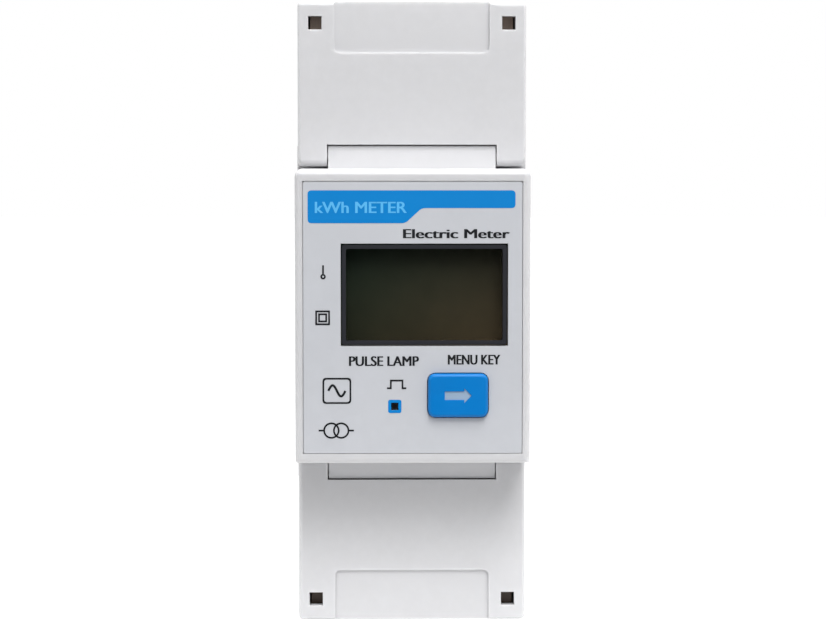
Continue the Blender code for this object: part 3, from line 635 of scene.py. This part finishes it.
def front_pieces(materials):
    """Bezel and button, with the printed arrow."""
    bezel = rounded_piece("display_frame", "display_bezel", bezel_rule, BEZEL_FINE_ROUND)
    paint(bezel, materials["bezel_dark"])
    fine = BUTTON_FINE_ROUND
    button = rounded_piece("menu_button_cap", "menu_button", button_rule, fine, widen_button)
    paint(button, materials["button_blue"])
    low, high = limits("menu_button")
    middle_x, middle_z = (low.x + high.x) / 2, (low.z + high.z) / 2
    outline = [
        (ARROW_TAIL_X, -ARROW_SHAFT),
        (ARROW_NECK_X, -ARROW_SHAFT),
        (ARROW_NECK_X, -ARROW_HEAD),
        (ARROW_TIP_X, 0.0),
        (ARROW_NECK_X, ARROW_HEAD),
        (ARROW_NECK_X, ARROW_SHAFT),
        (ARROW_TAIL_X, ARROW_SHAFT),
    ]
    placed = [(middle_x + x, middle_z + z) for x, z in outline]
    arrow = ink("button_arrow", [placed], low.y + ARROW_DEPTH)
    paint(arrow, materials["ink_arrow"])
    ride_like(arrow, "menu_button")


def coil_spring(materials):
    """The clip's spring, a rounded steel piece with a mesh of its own."""
    node, joint = "rail_clip_spring", "rail_clip_slide"
    coil = rounded_piece("clip_coil", node, lambda edge: 0.0, THIN_FINE_ROUND)
    paint(coil, materials["steel"])
    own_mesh(coil)


def other_nodes(materials):
    """Materials and fine rounding for every CAD node that is shown itself."""
    slots = {part["node"]: part["material_slot"] for part in frame["record"]["subparts"]}
    for node, item in NODES.items():
        if item.hide_render:
            continue
        # The upper block takes the lighter copy of the terminal brown, which is painted light
        look = "terminal_light" if node == "upper_terminal_block" else slots[node]
        paint(item, materials[look])
        weld = item.modifiers.new("weld", "WELD")
        weld.merge_threshold = WELD * MM
        fine = THIN_FINE_ROUND if node == "front_overlay" else FINE_ROUND
        soften(item, fine)


# ---------------------------------------------------------------- printed pieces
def arc(centre, radius, start, end, steps=16):
    """Points of an arc between two angles in degrees."""
    points = []
    for step in range(steps + 1):
        angle = math.radians(start + (end - start) * step / steps)
        points.append((centre[0] + radius * math.cos(angle), centre[1] + radius * math.sin(angle)))
    return points


def softened(outline, radius, steps=6):
    """An outline with its corners rounded."""
    points = []
    count = len(outline)
    for index, corner in enumerate(outline):
        here = Vector(corner)
        back = Vector(outline[index - 1]) - here
        ahead = Vector(outline[(index + 1) % count]) - here
        start = here + back.normalized() * radius
        end = here + ahead.normalized() * radius
        for step in range(steps + 1):
            t = step / steps
            point = start * (1 - t) ** 2 + here * 2 * t * (1 - t) + end * t ** 2
            points.append((point.x, point.y))
    return points


def square(centre, half):
    """Outline of a square."""
    x, z = centre
    return [(x - half, z - half), (x + half, z - half), (x + half, z + half), (x - half, z + half)]


def bar(start, end, width):
    """Outline of a straight printed line."""
    a, b = Vector(start), Vector(end)
    side = (b - a).normalized().orthogonal() * width / 2
    return [tuple(a + side), tuple(b + side), tuple(b - side), tuple(a - side)]


def band(points, width):
    """Outline of a printed line through several points."""
    left, right = [], []
    for index, point in enumerate(points):
        before = Vector(points[max(index - 1, 0)])
        after = Vector(points[min(index + 1, len(points) - 1)])
        side = (after - before).normalized().orthogonal() * width / 2
        left.append(tuple(Vector(point) + side))
        right.append(tuple(Vector(point) - side))
    return left + right[::-1]


def as_mesh(name, source):
    """Turn a curve or text object into a mesh object."""
    bpy.context.view_layer.update()
    graph = bpy.context.evaluated_depsgraph_get()
    mesh = bpy.data.meshes.new_from_object(source.evaluated_get(graph))
    curve = source.data
    bpy.data.objects.remove(source)
    bpy.data.curves.remove(curve)
    made = bpy.data.objects.new(name, mesh)
    bpy.context.scene.collection.objects.link(made)
    return made


def stand_up(item, front_y):
    """Turn a flat drawing in X and Y into one in X and Z that faces the reader."""
    for vertex in item.data.vertices:
        x, z, lift = vertex.co
        vertex.co = (x * MM, (front_y - INK_DEPTH / 2 - lift) * MM, z * MM)
    item.data.update()


def ink(name, outlines, front_y):
    """A thin printed shape; an outline inside another is a hole in it."""
    curve = bpy.data.curves.new(name, "CURVE")
    curve.dimensions = "2D"
    curve.fill_mode = "BOTH"
    curve.extrude = INK_DEPTH / 2
    for outline in outlines:
        spline = curve.splines.new("POLY")
        spline.points.add(len(outline) - 1)
        spline.use_cyclic_u = True
        for point, (x, z) in zip(spline.points, outline):
            point.co = (x, z, 0.0, 1.0)
    source = bpy.data.objects.new(name, curve)
    bpy.context.scene.collection.objects.link(source)
    made = as_mesh(name, source)
    stand_up(made, front_y)
    return made


def lettering(name, words, x, z, front_y, weight=0.0):
    """Words stretched to fill the space between two pairs of limits, bolder by a weight."""
    curve = bpy.data.curves.new(name, "FONT")
    curve.body = words
    curve.size = 2.0
    curve.resolution_u = 6
    curve.extrude = INK_DEPTH / 2
    source = bpy.data.objects.new(name, curve)
    bpy.context.scene.collection.objects.link(source)
    made = as_mesh(name, source)
    places = [vertex.co for vertex in made.data.vertices]
    low = [min(place[axis] for place in places) for axis in (0, 1)]
    high = [max(place[axis] for place in places) for axis in (0, 1)]
    width = x[1] - x[0] - weight
    for vertex in made.data.vertices:
        vertex.co.x = x[0] + (vertex.co.x - low[0]) * width / (high[0] - low[0])
        vertex.co.y = z[0] + (vertex.co.y - low[1]) * (z[1] - z[0]) / (high[1] - low[1])
    if weight:
        heavier(made.data, weight)
    stand_up(made, front_y)
    return made


def heavier(mesh, weight):
    """Print the same shape again, moved to the right and a hair behind."""
    shape = bmesh.new()
    shape.from_mesh(mesh)
    first = list(shape.verts) + list(shape.edges) + list(shape.faces)
    for step in (1, 2):
        copied = bmesh.ops.duplicate(shape, geom=first)["geom"]
        moved = [item for item in copied if isinstance(item, bmesh.types.BMVert)]
        bmesh.ops.translate(shape, verts=moved, vec=(weight * step / 2, 0.0, -0.001 * step))
    shape.to_mesh(mesh)
    shape.free()


def words_and_banner(front_y, materials):
    """The banner, and the words on it and below it."""
    black = materials["ink_black"]
    paint(ink("banner", [softened(BANNER, BANNER_CORNER)], front_y), materials["ink_blue"])
    over = front_y - INK_DEPTH
    words = lettering("banner_words", *BANNER_TEXT, over, BANNER_WEIGHT)
    paint(words, materials["ink_pale_blue"])
    paint(lettering("title_words", *TITLE_TEXT, front_y, TITLE_WEIGHT), black)
    paint(lettering("lamp_words", *LAMP_TEXT, front_y, SMALL_WEIGHT), black)
    paint(lettering("button_words", *BUTTON_TEXT, front_y, SMALL_WEIGHT), black)


def double_square(front_y, black):
    """The sign for double insulation."""
    centre, outer, inner = CLASS_SQUARE
    rings = []
    for half in (outer, inner):
        rings += [square(centre, half), square(centre, half - LINE)]
    paint(ink("double_square", rings, front_y), black)


def terminal_mark(front_y, black):
    """A stroke on a small ring."""
    x, z, radius, top = TERMINAL_MARK
    rings = [arc((x, z), radius, 0, RING_END), arc((x, z), radius - LINE, 0, RING_END)]
    stroke = bar((x, z + radius), (x, top), LINE)
    paint(ink("terminal_mark", rings + [stroke], front_y), black)


def sine_mark(front_y, black):
    """A sine wave in a square frame."""
    (left, right), (foot, top) = SINE_FRAME
    outline = [(left, foot), (right, foot), (right, top), (left, top)]
    inset = [
        (left + LINE, foot + LINE),
        (right - LINE, foot + LINE),
        (right - LINE, top - LINE),
        (left + LINE, top - LINE),
    ]
    middle_x, middle_z = (left + right) / 2, (foot + top) / 2
    wave = []
    for step in range(SINE_STEPS + 1):
        share = step / SINE_STEPS
        x = middle_x + SINE_HALF * (2 * share - 1)
        z = middle_z + SINE_RISE * math.sin(2 * math.pi * share)
        wave.append((x, z))
    frames = [softened(outline, SINE_FRAME_CORNER), softened(inset, SINE_FRAME_INNER_CORNER)]
    paint(ink("sine_mark", frames + [band(wave, LINE * 1.3)], front_y), black)


def winding_marks(front_y, black):
    """Two crossing rings with leads, the sign for a transformer."""
    (x, z), radius, offset, reach = WINDING_MARK
    for side, name in ((-1, "winding_left"), (1, "winding_right")):
        centre = (x + side * offset, z)
        rings = [arc(centre, radius, 0, RING_END, 32), arc(centre, radius - LINE, 0, RING_END, 32)]
        lead = bar((centre[0] + side * radius, z), (x + side * reach, z), LINE)
        paint(ink(name, rings + [lead], front_y), black)


def pulse_mark(front_y, black):
    """A square pulse above the lamp."""
    (left, right), (foot, top) = PULSE_MARK
    half = LINE / 2
    step = (right - left) / 5
    rise, fall = left + step, left + 4 * step
    low, high = foot + half, top - half
    strokes = [
        bar((left, low), (rise + half, low), LINE),
        bar((rise, low), (rise, high), LINE),
        bar((rise - half, high), (fall + half, high), LINE),
        bar((fall, high), (fall, low), LINE),
        bar((fall - half, low), (right, low), LINE),
    ]
    for number, stroke in enumerate(strokes, 1):
        paint(ink(f"pulse_mark_{number}", [stroke], front_y), black)


def lamp_ring(front_y, blue):
    """The blue square round the pulse lamp."""
    low, high = limits("led_light_pipe")
    lamp = ((low.x + high.x) / 2, (low.z + high.z) / 2)
    outer = softened(square(lamp, LAMP_RING_HALF), LAMP_RING_CORNER)
    paint(ink("lamp_ring", [outer, square(lamp, LAMP_HOLE_HALF)], front_y), blue)


def label_marks(front_y, materials):
    """Everything printed on the label, in generic words and signs."""
    black = materials["ink_black"]
    words_and_banner(front_y, materials)
    for mark in (double_square, terminal_mark, sine_mark, winding_marks, pulse_mark):
        mark(front_y, black)
    lamp_ring(front_y, materials["ink_blue"])


def terminal_numbers(materials):
    """The number of each terminal on the front of its block."""
    rows = (
        ("upper_terminal_block", ("line_in", "line_out"), 1),
        ("lower_terminal_block", ("sensor_a", "sensor_b", "data_a", "data_b"), 3),
    )
    for block, names, first in rows:
        for number, name in enumerate(names, first):
            low, high = limits(f"{name}_screw")
            x = (low.x + high.x) / 2
            z = (low.z + high.z) / 2
            half = NUMBER_HALF / 2 if number == 1 else NUMBER_HALF
            foot = NUMBER_FOOT_ABOVE if z > 0 else NUMBER_FOOT_BELOW
            across = (x - half, x + half)
            upward = (foot, foot + 3 * NUMBER_HALF)
            label = f"terminal_number_{number}"
            made = lettering(label, str(number), across, upward, BLOCK_FACE_Y)
            paint(made, materials["ink_white"])
            ride_like(made, block)


def printed(materials):
    """The printed marks, which stay with the casing."""
    before = set(bpy.data.objects)
    label_marks(limits("front_overlay")[0].y, materials)
    for item in set(bpy.data.objects) - before:
        ride_like(item, "front_overlay")
    terminal_numbers(materials)


# ---------------------------------------------------------------- studio
def ramp(tree, source, start, end, low, high):
    """A value of the world's light brought from one range to another."""
    node = tree.nodes.new("ShaderNodeMapRange")
    node.inputs["From Min"].default_value = start
    node.inputs["From Max"].default_value = end
    node.inputs["To Min"].default_value = low
    node.inputs["To Max"].default_value = high
    tree.links.new(source, node.inputs["Value"])
    return node.outputs["Result"]


def studio_world():
    """Soft light, strongest from above and weak behind the camera; white where it is seen."""
    world = bpy.data.worlds.new("studio")
    bpy.context.scene.world = world
    world.use_nodes = True
    tree = world.node_tree
    output = tree.nodes["World Output"]
    light = tree.nodes["Background"]
    light.inputs["Color"].default_value = (1.0, 1.0, 1.0, 1.0)
    seen = tree.nodes.new("ShaderNodeBackground")
    seen.inputs["Color"].default_value = (1.0, 1.0, 1.0, 1.0)
    seen.inputs["Strength"].default_value = 1.0
    place = tree.nodes.new("ShaderNodeTexCoord")
    split = tree.nodes.new("ShaderNodeSeparateXYZ")
    tree.links.new(place.outputs["Generated"], split.inputs["Vector"])
    height = ramp(tree, split.outputs["Z"], -1.0, 1.0, SKY_BELOW, SKY_ABOVE)
    behind = ramp(tree, split.outputs["Y"], -0.97, -0.82, SKY_BEHIND_CAMERA, 1.0)
    total = tree.nodes.new("ShaderNodeMath")
    total.operation = "MULTIPLY"
    tree.links.new(height, total.inputs[0])
    tree.links.new(behind, total.inputs[1])
    tree.links.new(total.outputs["Value"], light.inputs["Strength"])
    ray = tree.nodes.new("ShaderNodeLightPath")
    choice = tree.nodes.new("ShaderNodeMixShader")
    tree.links.new(ray.outputs["Is Camera Ray"], choice.inputs["Fac"])
    tree.links.new(light.outputs["Background"], choice.inputs[1])
    tree.links.new(seen.outputs["Background"], choice.inputs[2])
    tree.links.new(choice.outputs["Shader"], output.inputs["Surface"])


def soft_light(name, place, target, size, power):
    """A square area light aimed at a point."""
    data = bpy.data.lights.new(name, "AREA")
    data.size = size * MM
    data.energy = power
    made = bpy.data.objects.new(name, data)
    made.location = Vector(place) * MM
    aim = Vector(target) - Vector(place)
    made.rotation_euler = aim.to_track_quat("-Z", "Y").to_euler()
    bpy.context.scene.collection.objects.link(made)


def floor(material):
    """A large pale floor under the meter."""
    low = CAD_BOX[0].z
    shape = bmesh.new()
    corners = []
    for x, y in ((0, 0), (1, 0), (1, 1), (0, 1)):
        corners.append(shape.verts.new((FLOOR_X[x] * MM, FLOOR_Y[y] * MM, low)))
    shape.faces.new(corners)
    mesh = bpy.data.meshes.new("floor")
    shape.to_mesh(mesh)
    shape.free()
    made = bpy.data.objects.new("floor", mesh)
    made.data.materials.append(material)
    bpy.context.scene.collection.objects.link(made)


def camera():
    """The photo's viewing angle: level with the upper half and tilted down a little."""
    data = bpy.data.cameras.new("camera")
    data.lens = CAMERA_LENS
    data.sensor_width = CAMERA_SENSOR
    data.clip_start = 0.01
    data.clip_end = 20.0
    made = bpy.data.objects.new("camera", data)
    made.location = Vector(CAMERA_AT) * MM
    made.rotation_euler = (math.pi / 2 - CAMERA_TILT, 0.0, CAMERA_TURN)
    bpy.context.scene.collection.objects.link(made)
    bpy.context.scene.camera = made


def studio(materials):
    """Floor, lights and camera."""
    studio_world()
    floor(materials["floor"])
    soft_light("key", *KEY_LIGHT)
    soft_light("front", *FRONT_LIGHT)
    camera()
    bpy.context.scene.view_settings.view_transform = "Standard"


def build():
    """Make every visible piece and the studio round it."""
    materials = make_materials()
    shells(materials)
    front_pieces(materials)
    printed(materials)
    coil_spring(materials)
    other_nodes(materials)
    studio(materials)


build()
